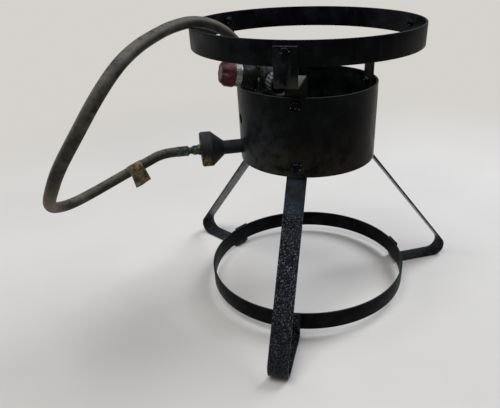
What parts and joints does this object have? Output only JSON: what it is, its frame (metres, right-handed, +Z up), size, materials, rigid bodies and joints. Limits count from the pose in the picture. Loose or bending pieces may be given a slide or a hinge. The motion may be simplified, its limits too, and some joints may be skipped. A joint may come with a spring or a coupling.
{
  "type": "outdoor stock pot burner stand",
  "caption": "Round propane burner stand with bent bar legs, wind shroud, guard ring, pot brackets, cast burner, gas hose and adjustable regulator.",
  "frame": {"origin": "on the common axis of the guard ring and the floor ring, at floor level", "axes": "+Z up; -Y towards the front leg, give or take nine degrees; +X to the right as seen from the front, away from the hose"},
  "size_m": [0.6451, 0.5061, 0.4806],
  "materials": {
    "frame_paint": "satin",
    "shroud_paint": "semi-gloss, heat worn",
    "fastener_paint": "satin",
    "burner_iron_plate": "satin",
    "burner_iron": "rough, rusting",
    "shutter_steel": "satin",
    "zinc": "zinc plated",
    "spring_steel": "plain",
    "brass": "dull",
    "ferrule_brass": "tarnished",
    "ferrule_zinc": "crimped",
    "regulator_zinc": "satin",
    "diaphragm_rubber": "matte",
    "knob_plastic": "faded",
    "coupling_plastic": "ribbed",
    "hose_rubber": "dusty",
    "tag_paper": "stained"
  },
  "bodies": {
    "stand": {"guard_ring": "frame_paint", "floor_ring": "frame_paint", "wind_shroud": "shroud_paint", "leg_front": "frame_paint", "leg_left": "frame_paint", "leg_right": "frame_paint", "pot_bracket_front": "frame_paint", "pot_bracket_left": "frame_paint", "pot_bracket_right": "frame_paint", "guard_bolts": "fastener_paint", "guard_nuts": "fastener_paint", "bracket_bolts": "fastener_paint", "bracket_nuts": "fastener_paint", "bracket_washers": "fastener_paint", "leg_bolts": "fastener_paint", "leg_nuts": "fastener_paint", "leg_washers": "fastener_paint", "burner_support": "burner_iron_plate", "burner_casting": "burner_iron", "burner_cap": "burner_iron", "cap_screw": "zinc", "mount_bolt": "zinc", "orifice_spud": "brass", "hose_swivel_nut": "brass", "hose_stem": "brass", "burner_ferrule": "ferrule_brass", "regulator_body": "regulator_zinc", "regulator_bonnet": "regulator_zinc", "regulator_collar": "zinc", "flange_screws": "zinc", "diaphragm": "diaphragm_rubber", "diaphragm_plate": "zinc", "spring_button": "zinc", "regulator_spring": "spring_steel", "outlet_elbow": "brass", "regulator_ferrule": "ferrule_zinc", "inlet_nipple": "brass", "inlet_nose": "diaphragm_rubber", "gas_hose": "hose_rubber", "hose_tag": "tag_paper"},
    "shutter": {"air_shutter": "shutter_steel"},
    "knob": {"adjusting_knob": "knob_plastic", "adjusting_screw": "spring_steel"},
    "coupling": {"coupling_nut": "coupling_plastic"}
  },
  "joints": [
    {"name": "shutter_turn", "type": "hinge", "parent": "stand", "child": "shutter", "pos_m": [-0.1729, -0.04633, 0.2775], "axis": [-0.9659, -0.2588, 0], "range_deg": [0, 45]},
    {"name": "knob_turn", "type": "hinge", "parent": "stand", "child": "knob", "pos_m": [-0.057, -0.031, 0.38565], "axis": [0.9148, 0.3512, -0.1994], "range_deg": [0, 1800]},
    {"name": "coupling_spin", "type": "hinge", "parent": "stand", "child": "coupling", "pos_m": [-0.057, -0.031, 0.38565], "axis": [0.3584, -0.9336, 0], "continuous": true}
  ]
}
